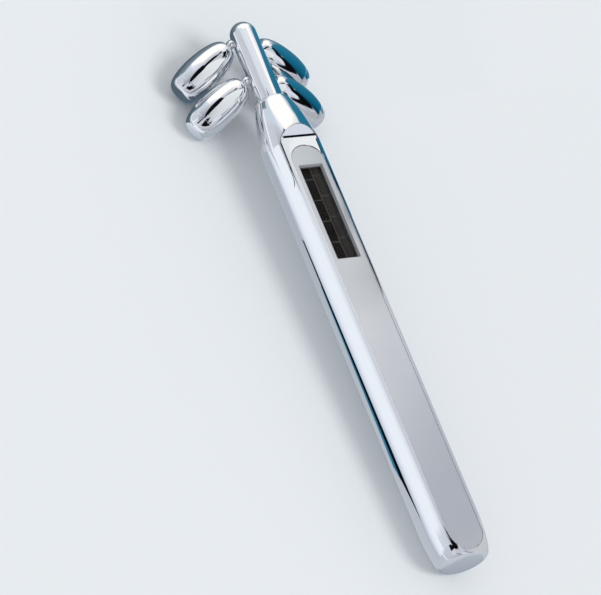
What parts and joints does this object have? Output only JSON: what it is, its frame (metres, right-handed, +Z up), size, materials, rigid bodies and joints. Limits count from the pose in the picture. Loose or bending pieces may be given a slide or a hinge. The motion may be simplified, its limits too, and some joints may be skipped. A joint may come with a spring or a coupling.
{
  "type": "facial toning device",
  "caption": "Chromed bar handle with a satin inlay and a solar window, and a round stem that carries short barrel rollers swept back on pins.",
  "frame": {"origin": "on the surface that the device lies on, under the middle of its length and width", "axes": "+Z up, out of the milled face; +Y along the device from the handle's end face to the stem's tip, before the small tilt at which it rests; +X to the side of the right rollers"},
  "size_m": [0.0484, 0.1915, 0.0243],
  "materials": {
    "chrome": "mirror polished plating",
    "satin_plate": "satin, finely blasted",
    "black_foam": "matt",
    "clear_window": "polished",
    "dark_cell": "glossy, with fine silver lines",
    "black_plastic": "moulded",
    "green_board": "solder mask",
    "capacitor_can": "sleeved",
    "red_wire": "insulated",
    "contact_brass": "plated",
    "plain_steel": "bright",
    "bush_plastic": "moulded"
  },
  "bodies": {
    "handle": {"handle_shell": "chrome", "inlay_plate": "satin_plate", "plate_tape": "black_foam", "window_lens": "clear_window", "solar_cell": "dark_cell", "cell_tray": "black_plastic", "circuit_board": "green_board", "converter_chip": "black_plastic", "storage_capacitor": "capacitor_can", "cell_leads": "red_wire", "stem_contact": "contact_brass", "handle_contact": "contact_brass", "stem": "chrome", "stem_sleeve": "bush_plastic", "insulating_washer": "black_plastic", "lock_washer": "plain_steel", "stem_nut": "plain_steel", "axle_left_upper": "plain_steel", "axle_left_lower": "plain_steel", "axle_right_upper": "plain_steel", "axle_right_lower": "plain_steel", "spacer_left_upper": "chrome", "spacer_left_lower": "chrome", "spacer_right_upper": "chrome", "spacer_right_lower": "chrome", "clip_left_upper": "plain_steel", "clip_left_lower": "plain_steel", "clip_right_upper": "plain_steel", "clip_right_lower": "plain_steel"},
    "roller_left_upper": {"roller_left_upper": "chrome", "cap_left_upper": "chrome", "inner_bush_left_upper": "bush_plastic", "outer_bush_left_upper": "bush_plastic"},
    "roller_left_lower": {"roller_left_lower": "chrome", "cap_left_lower": "chrome", "inner_bush_left_lower": "bush_plastic", "outer_bush_left_lower": "bush_plastic"},
    "roller_right_upper": {"roller_right_upper": "chrome", "cap_right_upper": "chrome", "inner_bush_right_upper": "bush_plastic", "outer_bush_right_upper": "bush_plastic"},
    "roller_right_lower": {"roller_right_lower": "chrome", "cap_right_lower": "chrome", "inner_bush_right_lower": "bush_plastic", "outer_bush_right_lower": "bush_plastic"}
  },
  "joints": [
    {"name": "spin_left_upper", "type": "hinge", "parent": "handle", "child": "roller_left_upper", "pos_m": [-0.01379, 0.08477, 0.00908], "axis": [-0.7792, -0.4173, -0.4677], "continuous": true},
    {"name": "spin_left_lower", "type": "hinge", "parent": "handle", "child": "roller_left_lower", "pos_m": [-0.01379, 0.07092, 0.00844], "axis": [-0.7792, -0.4173, -0.4677], "continuous": true},
    {"name": "spin_right_upper", "type": "hinge", "parent": "handle", "child": "roller_right_upper", "pos_m": [0.01379, 0.08477, 0.00908], "axis": [0.7792, -0.4173, -0.4677], "continuous": true},
    {"name": "spin_right_lower", "type": "hinge", "parent": "handle", "child": "roller_right_lower", "pos_m": [0.01379, 0.07092, 0.00844], "axis": [0.7792, -0.4173, -0.4677], "continuous": true}
  ]
}
